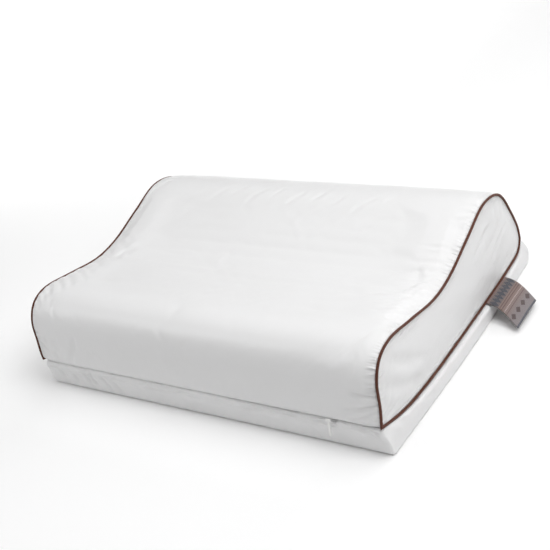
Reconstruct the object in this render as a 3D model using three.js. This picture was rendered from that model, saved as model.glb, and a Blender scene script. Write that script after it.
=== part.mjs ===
// A contoured cervical pillow: a wave-shaped foam cushion in a satin cotton cover, standing on a flat
// base layer of the same cloth. The cushion's wrap panel runs over its top, front and back, and an end
// panel closes each end, with a brown piping all the way round the seam. A zip in the front seam joins
// the base layer to the cushion, and a woven label is caught in the piping of one end.
//
// Millimetres, +Z up. The origin is the centre of the underside. +X runs along the pillow towards the
// end with the label, and +Y runs from the low lobe at the front to the high lobe at the back.
import * as THREE from 'three';

// Driving sizes
const DEPTH = 430;             // base layer, front to back, where it meets the surface
const END = 291;               // the piping's plane, from the middle of the pillow
const BASE_END = 294;          // the base layer's end, from its own middle
const BASE_SHIFT = 3;          // how far the base layer sits towards the label's end
const PIPING_R = 2.1;          // radius of the corded piping
const CLOTH = 1.5;             // thickness of an end panel
const GAP = 0.35;              // between pieces that touch
const SEAM_INSET = 0.25;       // how far the cushion's edge lies inside the piping's line
const OVER_CROWN = 5;          // how far the wrap panel stands out of the piping's line, in mid-length
const UNDER_CROWN = 2.1;       // the same on the underside, which presses on the base layer
const DRAW_IN = 42;            // length over which the wrap panel is drawn in to the piping
const PANEL_CROWN = 6;         // how far an end panel swells out between its seams
const END_BOW = 2;             // how far the ends bow out half way between front and back
const BASE_BOW = 5;            // the same for the base layer
const BASE_ROUND = 8;          // rounding of the base layer's ends
const LIP_LEAN = 6;            // how far the base layer's lips lean in at their ends
const LIP_FROM = 20;           // height at which they begin to
const SPAN_STEPS = 3;          // straight steps between two stations of an outline

// The piping's line at an end, as stations from the front seam over the lobes to the back seam.
// y is measured from the front edge of the base layer and z from the surface the pillow stands on.
const OVER = [
  { at: 'front seam', y: -8, z: 46 },
  { at: 'front face', y: -1, z: 71 },
  { at: 'nose', y: 4, z: 104 },
  { at: 'shoulder of the low lobe', y: 20, z: 127 },
  { at: 'crest of the low lobe', y: 47, z: 135 },
  { at: 'slope to the valley', y: 100, z: 126.5 },
  { at: 'valley', y: 162, z: 115.5 },
  { at: 'rise from the valley', y: 207, z: 119 },
  { at: 'slope of the high lobe', y: 272, z: 138 },
  { at: 'crest of the high lobe', y: 331, z: 154 },
  { at: 'shoulder of the high lobe', y: 379, z: 141 },
  { at: 'back face', y: 407, z: 98 },
  { at: 'foot of the back face', y: 422, z: 62 },
  { at: 'back seam', y: 423, z: 44 },
];

// The same line under the cushion, from the back seam to the front seam.
const UNDER = [
  { at: 'back seam', y: 423, z: 44 },
  { at: 'back roll', y: 412, z: 30 },
  { at: 'back of the flat', y: 376, z: 25.5 },
  { at: 'middle of the flat', y: 235, z: 24.5 },
  { at: 'front of the flat', y: 112, z: 25.5 },
  { at: 'front roll', y: 50, z: 30.5 },
  { at: 'front lip', y: 14, z: 39 },
  { at: 'front seam', y: -8, z: 46 },
];

// The base layer's outer line at the back and at the front, with the flat underside between them.
const BACK_BAND = [
  { at: 'back rim', y: 430, z: 38 },
  { at: 'back face', y: 437, z: 22 },
  { at: 'back foot', y: 433, z: 5 },
  { at: 'back of the underside', y: 425, z: 0 },
];
const FRONT_BAND = [
  { at: 'front of the underside', y: 8, z: 0 },
  { at: 'front foot', y: -1, z: 4.5 },
  { at: 'front face', y: -8, z: 22 },
  { at: 'front rim', y: -11, z: 37 },
];

// How far along the pillow the cushion's and the base layer's cross-sections stand.
const CUSHION_RINGS = [0, 90, 170, 225, 249, 258, 267, 275, 281, 285.5, 288.6];
const BASE_RINGS = [0, 90, 170, 225, 258, 275, 286];

// The label, rooted in the piping: it runs out level, bends down past the base layer, and leans more
// and more towards the front.
const LABEL = {
  width: 66, length: 57, thickness: 1.1,
  rootX: 294.8, rootY: 319.5, rootZ: 23.6,
  level: 8, bend: 25, bendAngle: 0.42, lean: 0.22, sweep: 0.0048,
};

// The zip's slider head and the pull that hangs from it, in one piece against the front seam.
const ZIP = {
  x: 216, y: -11.35, top: 46.8, thickness: 1.4,
  headWidth: 6.5, headHeight: 4.2, neckWidth: 2, pullWidth: 3.8, length: 24.5,
};

// Materials

const satinCotton = new THREE.MeshStandardMaterial({ color: 0xf0f0f1, roughness: 0.62, metalness: 0 });
const brownPiping = new THREE.MeshStandardMaterial({ color: 0x4a2f2a, roughness: 0.7, metalness: 0 });
const wovenLabel = new THREE.MeshStandardMaterial({ color: 0x9c8a87, roughness: 0.55, metalness: 0 });
const whiteNylon = new THREE.MeshStandardMaterial({ color: 0xf4f4f2, roughness: 0.45, metalness: 0 });

// Outlines

const MIDDLE = DEPTH / 2;

// Points along a smooth curve through the stations.
function run(stations) {
  const curve = new THREE.CatmullRomCurve3(
    stations.map((s) => new THREE.Vector3(0, s.y - MIDDLE, s.z)), false, 'centripetal');
  const steps = (stations.length - 1) * SPAN_STEPS;
  return Array.from({ length: steps + 1 }, (_, i) => {
    const p = curve.getPoint(i / steps);
    return { y: p.y, z: p.z, t: i / steps };
  });
}

// The direction that leads out of an outline at one of its points, longer at a sharp corner.
function outward(before, p, after) {
  const into = new THREE.Vector2(p.y - before.y, p.z - before.z).normalize();
  const on = new THREE.Vector2(after.y - p.y, after.z - p.z).normalize();
  if (into.lengthSq() === 0) into.copy(on);
  if (on.lengthSq() === 0) on.copy(into);
  const along = into.clone().add(on).normalize();
  const mitre = Math.min(1 / along.dot(on), 1.5);
  return { y: -along.y * mitre, z: along.x * mitre };
}

// A point is moved out along its outward direction, and so it is as far in as the piping's edge. It is
// moved further in towards its anchor, which is a point on a level line through the middle.
const RIM_INSET = PIPING_R + GAP;
function moved(p, distance) {
  if (p.out && distance >= -RIM_INSET) return { y: p.y + p.out.y * distance, z: p.z + p.out.z * distance };
  const dy = p.y - p.anchor.y;
  const dz = p.z - p.anchor.z;
  const share = 1 + Math.max(distance / Math.hypot(dy, dz), -0.85);
  return { y: p.anchor.y + dy * share, z: p.anchor.z + dz * share };
}

// The piping's line, which is the cushion's edge, with the crown that each of its points takes.
const CUSHION_CORE = { z: 76, from: 45 - MIDDLE, to: 380 - MIDDLE };
const over = run(OVER).map((p) => ({
  ...p,
  crown: UNDER_CROWN + (OVER_CROWN - UNDER_CROWN) * Math.sqrt(Math.sin(Math.PI * p.t)),
}));
const under = run(UNDER).map((p) => ({ ...p, crown: UNDER_CROWN }));
const cushionLine = [...over.slice(0, -1), ...under.slice(0, -1)].map((p, i, line) => ({
  ...p,
  out: outward(line.at(i - 1), p, line[(i + 1) % line.length]),
  anchor: { y: THREE.MathUtils.clamp(p.y, CUSHION_CORE.from, CUSHION_CORE.to), z: CUSHION_CORE.z },
}));

// The base layer's line: the cradle under the piping, front to back, then its back, underside and front.
const BASE_CORE = { z: 11, from: 14 - MIDDLE, to: 416 - MIDDLE };
const cradle = under.map((p, i) => {
  const out = outward(under[Math.max(i - 1, 0)], p, under[Math.min(i + 1, under.length - 1)]);
  return { y: p.y + out.y * (PIPING_R + GAP), z: p.z + out.z * (PIPING_R + GAP) };
});
const baseLine = [...cradle.reverse(), ...run(BACK_BAND), ...run(FRONT_BAND)].map((p) => ({
  ...p,
  anchor: { y: THREE.MathUtils.clamp(p.y, BASE_CORE.from, BASE_CORE.to), z: BASE_CORE.z },
}));

// How far the cushion's ends, and the base layer's, bow out at a place between front and back. The
// ends of the base layer's lips lean in instead.
function bow(p) {
  return END_BOW * Math.cos((Math.PI * p.y) / DEPTH);
}
function baseBow(p) {
  const lean = (LIP_LEAN * Math.max(p.z - LIP_FROM, 0)) / LIP_FROM;
  return BASE_BOW * Math.max(Math.cos((Math.PI * p.y) / DEPTH), 0) - lean;
}

// Solids

// Triangles that close a ring, as a strip worked from both sides of its first edge to the far end.
function lid(ring) {
  const reach = (i, j) => Math.hypot(ring[i].y - ring[j].y, ring[i].z - ring[j].z);
  const triangles = [];
  let [a, b] = [0, ring.length - 1];
  while (b - a > 1) {
    if (reach(a + 1, b) < reach(a, b - 1)) {
      triangles.push([a, b, a + 1]);
      a += 1;
    } else {
      triangles.push([a, b, b - 1]);
      b -= 1;
    }
  }
  return triangles;
}

function indexed(position, index) {
  const geometry = new THREE.BufferGeometry();
  geometry.setAttribute('position', new THREE.Float32BufferAttribute(position, 3));
  geometry.setIndex(index);
  geometry.computeVertexNormals();
  return geometry;
}

// A closed solid through rings of points, which run clockwise seen from +X. Each four-sided facet is
// split across its shorter diagonal, so that two faces that lie on each other are split alike.
function loft(rings) {
  const count = rings[0].length;
  const points = rings.flat();
  const apart = (i, j) => Math.hypot(points[i].y - points[j].y, points[i].z - points[j].z);
  const index = [];
  for (let i = 0; i + 1 < rings.length; i++) {
    for (let j = 0; j < count; j++) {
      const a = i * count + j;
      const b = i * count + ((j + 1) % count);
      const [c, d] = [a + count, b + count];
      if (apart(b, c) < apart(a, d)) index.push(a, c, b, b, c, d);
      else index.push(a, c, d, a, d, b);
    }
  }
  const last = (rings.length - 1) * count;
  for (const [a, b, c] of lid(rings[0])) index.push(a, c, b);
  for (const [a, b, c] of lid(rings.at(-1))) index.push(last + a, last + b, last + c);
  return indexed(points.flatMap((p) => [p.x, p.y, p.z]), index);
}

// One cross-section along a line, its points moved out or in by a distance, and bowed near the ends.
function section(line, x, distance, bowAt, end) {
  const side = Math.sign(x) * (Math.abs(x) / end) ** 4;
  return line.map((p) => {
    const q = moved(p, distance(p));
    return { x: x + side * bowAt(q), y: q.y, z: q.z };
  });
}

// Rings for both halves of the pillow from those of its right half, which begin at the middle.
function bothHalves(right) {
  return [...right.slice(1).reverse().map((ring) => ({ ...ring, x: -ring.x })), ...right];
}

// The ends swell between their seams. Each step is how far in from the seam, and its share of the swell.
const END_STEPS = [
  { inset: 9, swell: 0.16 },
  { inset: 22, swell: 0.52 },
  { inset: 40, swell: 0.78 },
];

// The cushion: full in mid-length and drawn in to the piping at each end.
function cushionGeometry() {
  const seamRing = CUSHION_RINGS.at(-1);
  const wrap = CUSHION_RINGS.map((x) => {
    const left = Math.min((seamRing - x) / DRAW_IN, 1);
    const share = Math.sqrt(1 - (1 - left) ** 2);
    return { x, distance: (p) => p.crown * share - SEAM_INSET * (1 - share) };
  });
  const ends = [
    { x: seamRing, distance: () => -RIM_INSET },
    ...END_STEPS.map(({ inset, swell }) => (
      { x: END - CLOTH - GAP + swell * PANEL_CROWN, distance: () => -inset })),
  ];
  return loft(bothHalves([...wrap, ...ends]).map(({ x, distance }) => (
    section(cushionLine, x, distance, bow, END))));
}

// An end panel: a thin sheet over the cushion's end, its rim tucked behind the piping.
function endPanelGeometry(side) {
  const inner = END_STEPS.map(({ inset, swell }) => ({ x: END - CLOTH + swell * PANEL_CROWN, inset }));
  const outer = inner.map(({ x, inset }) => ({ x: x + CLOTH, inset }));
  const rim = [
    { x: END + 0.2, inset: RIM_INSET },
    { x: END + CLOTH - 0.2, inset: RIM_INSET },
  ];
  const rings = [...inner.reverse(), ...rim, ...outer].map(({ x, inset }) => (
    section(cushionLine, x, () => -inset, bow, END)));
  if (side > 0) return loft(rings);
  return loft(rings.reverse().map((ring) => ring.map((p) => ({ ...p, x: -p.x }))));
}

// The piping: a cord in a folded strip, sewn into the seam all the way round an end.
const PIPING_SIDES = 7;
function pipingGeometry(side) {
  const count = cushionLine.length;
  const position = [];
  const index = [];
  cushionLine.forEach((p, i) => {
    const next = (i + 1) % count;
    for (let k = 0; k < PIPING_SIDES; k++) {
      const turn = (2 * Math.PI * k) / PIPING_SIDES;
      const reach = PIPING_R * Math.cos(turn);
      const x = side * (END + bow(p)) + PIPING_R * Math.sin(turn);
      position.push(x, p.y + p.out.y * reach, p.z + p.out.z * reach);
      const other = (k + 1) % PIPING_SIDES;
      const [a, b] = [i * PIPING_SIDES + k, i * PIPING_SIDES + other];
      const [c, d] = [next * PIPING_SIDES + k, next * PIPING_SIDES + other];
      index.push(a, b, c, b, d, c);
    }
  });
  return indexed(position, index);
}

// The base layer: a flat-bottomed slab, its front and back lips rising to the cushion's seams.
function baseGeometry() {
  const slab = BASE_RINGS.map((x) => ({ x, distance: () => 0 }));
  const round = [0.35, 0.6, 0.82, 0.95, 1].map((share) => ({
    x: BASE_END - BASE_ROUND * (1 - share),
    distance: () => -BASE_ROUND * (1 - Math.sqrt(1 - share ** 2)),
  }));
  return loft(bothHalves([...slab, ...round]).map(({ x, distance }) => (
    section(baseLine, x, distance, baseBow, BASE_END))));
}

// The label's cloth, laid level, then bent over an arc, then straight again.
function labelGeometry() {
  const { width, length, thickness, rootX, rootY, rootZ } = LABEL;
  const { level, bend, bendAngle, lean, sweep } = LABEL;
  const geometry = new THREE.BoxGeometry(length, width, thickness, 12, 4, 1);
  const position = geometry.getAttribute('position');
  const radius = bend / bendAngle;
  for (let i = 0; i < position.count; i++) {
    const along = position.getX(i) + length / 2;
    const flat = Math.min(along, level);
    const curved = THREE.MathUtils.clamp(along - level, 0, bend);
    const straight = Math.max(along - level - bend, 0);
    const turn = curved / radius;
    const lift = radius + position.getZ(i);
    const reach = flat + lift * Math.sin(turn) + straight * Math.cos(turn);
    const height = lift * Math.cos(turn) - radius - straight * Math.sin(turn);
    const forward = lean * reach + sweep * reach ** 2;
    position.setXYZ(i, rootX + reach, rootY - MIDDLE + position.getY(i) - forward, rootZ + height);
  }
  geometry.computeVertexNormals();
  return geometry;
}

// The slider's head and pull, drawn from the front and given its thickness.
function zipPullGeometry() {
  const { headWidth, headHeight, neckWidth, pullWidth, length, thickness } = ZIP;
  const corner = 1;
  const shape = new THREE.Shape();
  shape.moveTo(-neckWidth / 2, -headHeight);
  shape.lineTo(-headWidth / 2 + corner, -headHeight);
  shape.lineTo(-headWidth / 2, -headHeight + corner);
  shape.lineTo(-headWidth / 2, -corner);
  shape.lineTo(-headWidth / 2 + corner, 0);
  shape.lineTo(headWidth / 2 - corner, 0);
  shape.lineTo(headWidth / 2, -corner);
  shape.lineTo(headWidth / 2, -headHeight + corner);
  shape.lineTo(headWidth / 2 - corner, -headHeight);
  shape.lineTo(neckWidth / 2, -headHeight);
  shape.lineTo(pullWidth / 2, -headHeight - 5);
  shape.lineTo(pullWidth / 2, -length + corner);
  shape.quadraticCurveTo(pullWidth / 2, -length, 0, -length);
  shape.quadraticCurveTo(-pullWidth / 2, -length, -pullWidth / 2, -length + corner);
  shape.lineTo(-pullWidth / 2, -headHeight - 5);
  shape.closePath();
  const geometry = new THREE.ExtrudeGeometry(shape, { depth: thickness, bevelEnabled: false, curveSegments: 3 });
  geometry.rotateX(Math.PI / 2);
  return geometry;
}

// Assembly

const pillow = new THREE.Group();
function add(name, geometry, material) {
  const mesh = new THREE.Mesh(geometry, material);
  mesh.name = name;
  pillow.add(mesh);
  return mesh;
}

add('contour_cushion', cushionGeometry(), satinCotton);
add('base_layer', baseGeometry(), satinCotton).position.x = BASE_SHIFT;
for (const [side, name] of [[-1, 'left'], [1, 'right']]) {
  add(`end_panel_${name}`, endPanelGeometry(side), satinCotton);
  add(`piping_${name}`, pipingGeometry(side), brownPiping);
}
add('woven_label', labelGeometry(), wovenLabel);
const zipPull = add('zip_pull', zipPullGeometry(), whiteNylon);
zipPull.position.set(ZIP.x, ZIP.y - MIDDLE, ZIP.top);

export default pillow;
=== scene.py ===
import math

import bpy
import numpy as np
from mathutils import Matrix, Vector, noise


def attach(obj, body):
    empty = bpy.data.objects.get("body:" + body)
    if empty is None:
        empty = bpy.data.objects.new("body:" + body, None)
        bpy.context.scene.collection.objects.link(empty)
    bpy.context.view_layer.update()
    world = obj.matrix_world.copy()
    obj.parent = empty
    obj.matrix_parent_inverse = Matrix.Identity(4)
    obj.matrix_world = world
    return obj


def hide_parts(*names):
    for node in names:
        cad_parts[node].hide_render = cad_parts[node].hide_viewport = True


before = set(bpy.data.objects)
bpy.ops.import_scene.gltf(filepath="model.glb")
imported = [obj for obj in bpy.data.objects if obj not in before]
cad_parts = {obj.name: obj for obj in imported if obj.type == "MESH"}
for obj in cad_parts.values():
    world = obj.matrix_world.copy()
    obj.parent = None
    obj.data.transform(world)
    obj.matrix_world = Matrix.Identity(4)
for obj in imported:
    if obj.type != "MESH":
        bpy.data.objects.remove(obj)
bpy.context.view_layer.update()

# Camera
# A long lens stands to the right of the pillow's front and above it, and is rolled a little, so that
# the front edge falls away to the right as in the photograph.
LENS_MM = 68.93
VIEW_AZIMUTH = math.radians(41.17)
VIEW_ELEVATION = math.radians(29.38)
VIEW_ROLL = math.radians(-16.56)
CAMERA_PLACE = Vector((0.8792, -0.9999, 0.8311))

look_back = Vector((
    math.sin(VIEW_AZIMUTH) * math.cos(VIEW_ELEVATION),
    -math.cos(VIEW_AZIMUTH) * math.cos(VIEW_ELEVATION),
    math.sin(VIEW_ELEVATION),
))
level_right = Vector((0, 0, 1)).cross(look_back).normalized()
level_up = look_back.cross(level_right)
camera_right = math.cos(VIEW_ROLL) * level_right + math.sin(VIEW_ROLL) * level_up
camera_up = look_back.cross(camera_right)
bpy.ops.object.camera_add()
camera = bpy.context.object
camera.name = "camera"
camera.data.lens = LENS_MM
camera.data.sensor_width = 36
camera.data.clip_end = 40
camera.matrix_world = Matrix.Translation(CAMERA_PLACE) @ Matrix(
    (camera_right, camera_up, look_back)).transposed().to_4x4()
bpy.context.scene.camera = camera

# Wrap panel on its foam
# One length of white satin cotton runs over the front, top and back of a wave-shaped foam block. It is
# sewn to the end panels with the piping between them, so it is drawn in to the piping at each end and
# puckers there, and it lies in soft folds where the foam turns down to the corners.
DEPTH = 0.430
SEAM_PLANE = 0.291
END_BOW = 0.002
PIPING_RADIUS = 0.0018
OVER_CROWN = 0.005
UNDER_CROWN = 0.002
CLOTH_PITCH = 0.0048
FINE_PITCH = 0.003
FINE_FROM = 0.240
UNDER_PITCH = 0.012
SEAM_INSET = 0.0014
DEEPEST = 0.85
DRAW_IN_LEFT = 0.055
DRAW_IN_RIGHT = 0.024
FOAM_HOLD = 0.15
FOAM_HOLD_AT_ENDS = 0.06
CLOTH_FRAMES = 20
CLOTH_CAP = 0.004
CRUMPLE_DEPTH = 0.0011
CORNER_PUFF = 0.0026
CORNER_TUCK = 0.015

# Creases in the wrap panel, in millimetres. Each row gives where a trough starts and ends, along the
# pillow and up the cloth from the front seam, how far its middle bows aside, its width and its depth.
WRAP_CREASES = [
    # Puckers and pulls beside the right piping, from the corner up the front.
    (291, 13, 258, 1, 1, 3.0, 2.4),
    (291, 22, 250, 6, 1.5, 3.6, 3.0),
    (291, 31, 244, 20, 1, 4.0, 2.4),
    (291, 41, 254, 45, -1, 3.2, 2.8),
    (291, 51, 272, 50, 0, 2.8, 2.4),
    (291, 58, 275, 58, 0, 2.4, 1.9),
    (291, 66, 277, 65, 0, 2.4, 1.7),
    (291, 74, 278, 74, 0, 2.4, 1.6),
    (291, 84, 280, 83, 0, 2.4, 1.3),
    # Long fine pulls out of the right piping, through the valley and up to the high lobe.
    (290, 160, 250, 158, 0, 2.8, 0.5),
    (290, 180, 236, 176, 1, 2.8, 0.7),
    (290, 196, 244, 189, 1, 2.4, 0.8),
    (290, 208, 220, 200, 2, 2.8, 0.9),
    (290, 222, 236, 214, 1, 2.4, 1.0),
    (290, 236, 212, 226, -2, 3.2, 0.9),
    (290, 252, 240, 246, 1, 2.4, 0.9),
    (290, 266, 222, 258, 2, 2.8, 0.9),
    (290, 285, 208, 272, -2, 3.2, 0.9),
    (290, 303, 228, 296, 2, 3.2, 0.8),
    (290, 327, 234, 324, 2, 2.8, 0.8),
    (290, 378, 258, 370, 0, 2.6, 0.7),
    (290, 392, 264, 384, 0, 2.4, 0.7),
    (290, 405, 260, 398, 0, 2.4, 0.7),
    # Gathers that lean forward from the left piping, over the low lobe and the valley.
    (-290, 88, -280, 84, 0, 2.4, 0.5),
    (-290, 101, -278, 94, 0, 2.4, 0.6),
    (-290, 118, -268, 96, 1, 3, 0.8),
    (-290, 134, -260, 104, 2, 3.4, 1.1),
    (-290, 150, -246, 118, 3, 3.8, 1.1),
    (-290, 168, -234, 128, 4, 4.2, 1.2),
    (-290, 186, -224, 146, 5, 4.2, 1.1),
    (-290, 204, -232, 168, 4, 4.2, 1.0),
    (-290, 226, -242, 198, 3, 4.2, 0.9),
    (-290, 250, -248, 228, 2, 4.2, 0.8),
    (-290, 300, -240, 276, 2, 4.4, 0.7),
    # Folds that stand up from the front seam.
    (-284, 32, -262, 16, 1, 3.2, 1.6),
    (-288, 46, -260, 37, 0, 3.2, 1.2),
    (-252, 4, -240, 46, 2, 5, 1.6),
    (-226, 2, -204, 52, -4, 5, 2.4),
    (-190, 4, -176, 34, -2, 5, 1.2),
    (-120, 2, -112, 26, -1, 6, 0.5),
    (-30, 2, -18, 30, 2, 7, 0.5),
    (70, 2, 92, 28, 2, 7, 0.5),
    (196, 2, 214, 26, 2, 5, 0.6),
    # Short crumples that lean to the right across the crest of the high lobe, and two slack folds.
    (-150, 384, -128, 412, 1, 3.6, 0.8),
    (-118, 392, -100, 424, -1, 3.2, 0.7),
    (-84, 376, -58, 416, 2, 4.2, 1.0),
    (-44, 390, -28, 420, 1, 3.2, 0.8),
    (-12, 380, 14, 414, -2, 4.0, 1.0),
    (30, 388, 54, 424, 1, 3.6, 0.9),
    (66, 384, 84, 410, -1, 3.4, 0.8),
    (104, 372, 136, 408, 2, 4.4, 0.9),
    (150, 392, 166, 420, 1, 3.4, 0.6),
    (124, 334, 150, 352, 1, 4.0, 0.7),
    (-190, 340, -120, 392, 8, 9, 0.8),
    (20, 340, 100, 384, -6, 9, 0.7),
]

# The piping's line at an end. Each row is a station's name, its place from the base layer's front edge
# towards the back, and its height above the surface.
OVER = [
    ("front seam", -0.008, 0.046),
    ("front face", -0.001, 0.071),
    ("nose", 0.004, 0.104),
    ("shoulder of the low lobe", 0.020, 0.127),
    ("crest of the low lobe", 0.047, 0.135),
    ("slope to the valley", 0.100, 0.1265),
    ("valley", 0.162, 0.1155),
    ("rise from the valley", 0.207, 0.119),
    ("slope of the high lobe", 0.272, 0.138),
    ("crest of the high lobe", 0.331, 0.154),
    ("shoulder of the high lobe", 0.379, 0.141),
    ("back face", 0.407, 0.098),
    ("foot of the back face", 0.422, 0.062),
    ("back seam", 0.423, 0.044),
]
UNDER = [
    ("back seam", 0.423, 0.044),
    ("back roll", 0.412, 0.030),
    ("back of the flat", 0.376, 0.0255),
    ("middle of the flat", 0.235, 0.0245),
    ("front of the flat", 0.112, 0.0255),
    ("front roll", 0.050, 0.0305),
    ("front lip", 0.014, 0.039),
    ("front seam", -0.008, 0.046),
]


LINE_STEPS = 24
LINE_PITCH = 0.002
LINE_ROUNDS = 12


def smooth_line(stations, pitch):
    """Points at an even pitch along a smooth curve through the stations, as rows of y and z."""
    knots = np.array([(y - DEPTH / 2, z) for _, y, z in stations])
    knots = np.vstack([2 * knots[0] - knots[1], knots, 2 * knots[-1] - knots[-2]])
    fine = []
    for a, b, c, d in zip(knots, knots[1:], knots[2:], knots[3:]):
        t1 = math.sqrt(np.linalg.norm(b - a))
        t2 = t1 + math.sqrt(np.linalg.norm(c - b))
        t3 = t2 + math.sqrt(np.linalg.norm(d - c))
        for t in np.linspace(t1, t2, LINE_STEPS, endpoint=False):
            ab = a + (b - a) * t / t1
            bc = b + (c - b) * (t - t1) / (t2 - t1)
            cd = c + (d - c) * (t - t2) / (t3 - t2)
            abc = ab + (bc - ab) * t / t2
            bcd = bc + (cd - bc) * (t - t1) / (t3 - t1)
            fine.append(abc + (bcd - abc) * (t - t1) / (t2 - t1))
    fine.append(knots[-2])
    fine = np.array(fine)
    reach = np.concatenate([[0], np.cumsum(np.linalg.norm(np.diff(fine, axis=0), axis=1))])
    even = np.linspace(0, reach[-1], round(reach[-1] / LINE_PITCH) + 1)
    line = np.column_stack([np.interp(even, reach, fine[:, k]) for k in (0, 1)])
    for _ in range(LINE_ROUNDS):
        line[1:-1] = (line[:-2] + 2 * line[1:-1] + line[2:]) / 4
    wanted = np.linspace(0, reach[-1], round(reach[-1] / pitch) + 1)
    return np.column_stack([np.interp(wanted, even, line[:, k]) for k in (0, 1)])


def outward(line):
    """The direction out of a closed line at each of its points, longer where the line turns sharply."""
    into = line - np.roll(line, 1, axis=0)
    into /= np.linalg.norm(into, axis=1)[:, None]
    on = np.roll(into, -1, axis=0)
    along = into + on
    along /= np.linalg.norm(along, axis=1)[:, None]
    mitre = 1 / np.clip((along * on).sum(1), 0.66, 1)
    return np.column_stack([-along[:, 1], along[:, 0]]) * mitre[:, None]


def bow(y, most):
    """How far an end bows out at a place between front and back."""
    return most * np.clip(np.cos(np.pi * y / DEPTH), 0, 1)


def lid(ring):
    """The facets that close a ring, as a strip worked from both sides of its first edge."""
    facets, low, high = [], 0, len(ring) - 1
    while high - low > 1:
        if np.linalg.norm(ring[low + 1] - ring[high]) < np.linalg.norm(ring[low] - ring[high - 1]):
            facets.append((low, high, low + 1))
            low += 1
        else:
            facets.append((low, high, high - 1))
            high -= 1
    return facets


def meshed(name, points, facets, maps):
    """A smooth piece from its points and facets, with the place of each facet corner on its cloth."""
    mesh = bpy.data.meshes.new(name)
    mesh.from_pydata(points, [], facets)
    mesh.uv_layers.new(name="cloth").data.foreach_set("uv", np.array(maps).ravel())
    mesh.polygons.foreach_set("use_smooth", [True] * len(mesh.polygons))
    piece = bpy.data.objects.new(name, mesh)
    bpy.context.scene.collection.objects.link(piece)
    return piece


def stuffed(name, rings):
    """A closed piece through rings of points along X, with the cloth's own lengths as its UV map. The
    facets that close its ends are mapped by their own places."""
    rings = np.asarray(rings)
    many, count = rings.shape[:2]
    facets, maps = [], []
    along = rings[:, 0, 0]
    around = np.concatenate([[0], np.cumsum(np.linalg.norm(
        np.diff(rings[many // 2], axis=0, append=rings[many // 2][:1]), axis=1))])
    last = (many - 1) * count
    for a, b, c in lid(rings[0]):
        facets.append((a, c, b))
        maps += [rings[0][k][1:] for k in (a, c, b)]
    for a, b, c in lid(rings[-1]):
        facets.append((last + a, last + b, last + c))
        maps += [rings[-1][k][1:] for k in (a, b, c)]
    for i in range(many - 1):
        for j in range(count):
            k = (j + 1) % count
            facets.append((i * count + j, (i + 1) * count + j, (i + 1) * count + k, i * count + k))
            maps += [(along[i], around[j]), (along[i + 1], around[j]),
                     (along[i + 1], around[j + 1]), (along[i], around[j + 1])]
    return meshed(name, rings.reshape(-1, 3).tolist(), facets, maps)


def creases(across, up, rows):
    """The height of soft troughs and ridges over cloth places. A row of the table is where a crease
    begins and ends, how far its middle bows aside, its width and its depth, in millimetres."""
    overrun, fade = 0.12, 0.4
    height = np.zeros(len(across))
    for x0, y0, x1, y1, aside, width, depth in np.array(rows) / 1000:
        run = math.hypot(x1 - x0, y1 - y0)
        ux, uy = (x1 - x0) / run, (y1 - y0) / run
        t = ((across - x0) * ux + (up - y0) * uy) / run
        off = (up - y0) * ux - (across - x0) * uy - aside * 4 * t * (1 - t)
        taper = np.clip(np.minimum(t + overrun, 1 + overrun - t) / fade, 0, 1)
        taper = taper * taper * (3 - 2 * taper) * (0.8 + 0.2 * np.cos(9 * t + 700 * x0))
        wide = width * (0.7 + 0.3 * taper)
        trough = np.exp(-(off / wide) ** 2)
        lips = np.exp(-((np.abs(off) - 2.1 * wide) / (1.1 * wide)) ** 2)
        height -= depth * taper * (trough - 0.4 * lips)
    return height


def crumple(across, up, turn, long, short):
    """Fine uneven crumples from 0 to 1, longer one way than the other, at a turn from the first way."""
    cos, sin = math.cos(turn), math.sin(turn)
    height = np.empty(len(across))
    for i, (a, b) in enumerate(zip(across.tolist(), up.tolist())):
        height[i] = noise.ridged_multi_fractal(
            Vector(((a * cos + b * sin) / long, (b * cos - a * sin) / short, 3.7)), 0.9, 2.1, 3, 0.9, 1.6)
    return np.clip(height / 2.2, 0, 1)


def hump(value, middle, reach):
    """A smooth mask that is 1 at a middle and fades over a reach."""
    return np.exp(-((value - middle) / reach) ** 2)


def points_of(piece):
    """The points of a piece, as rows of x, y and z."""
    places = np.empty(len(piece.data.vertices) * 3)
    piece.data.vertices.foreach_get("co", places)
    return places.reshape(-1, 3)


def put_points(piece, places):
    """Moves the points of a piece to their new places."""
    piece.data.vertices.foreach_set("co", places.ravel())
    piece.data.update()


def raised(piece, height):
    """Moves each point of a piece along its normal by a height."""
    normal = np.empty(len(piece.data.vertices) * 3)
    piece.data.vertex_normals.foreach_get("vector", normal)
    put_points(piece, points_of(piece) + normal.reshape(-1, 3) * height[:, None])


def select_only(piece):
    """Selects one piece alone, so that an operator acts on nothing else."""
    bpy.ops.object.select_all(action="DESELECT")
    bpy.context.view_layer.objects.active = piece
    piece.select_set(True)


def with_modifier(piece, kind, **settings):
    """Adds a modifier to a piece and applies it."""
    select_only(piece)
    modifier = piece.modifiers.new(kind.lower(), kind)
    for key, value in settings.items():
        setattr(modifier, key, value)
    bpy.ops.object.modifier_apply(modifier=modifier.name)


def cloth_places(piece):
    """Each point's place on its cloth, along the pillow and round it, from the UV map."""
    mesh = piece.data
    corners = np.empty(len(mesh.loops), int)
    mesh.loops.foreach_get("vertex_index", corners)
    maps = np.empty(len(mesh.loops) * 2)
    mesh.uv_layers["cloth"].data.foreach_get("uv", maps)
    places = np.zeros((len(mesh.vertices), 2))
    places[corners] = maps.reshape(-1, 2)
    return places[:, 0], places[:, 1]


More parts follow.
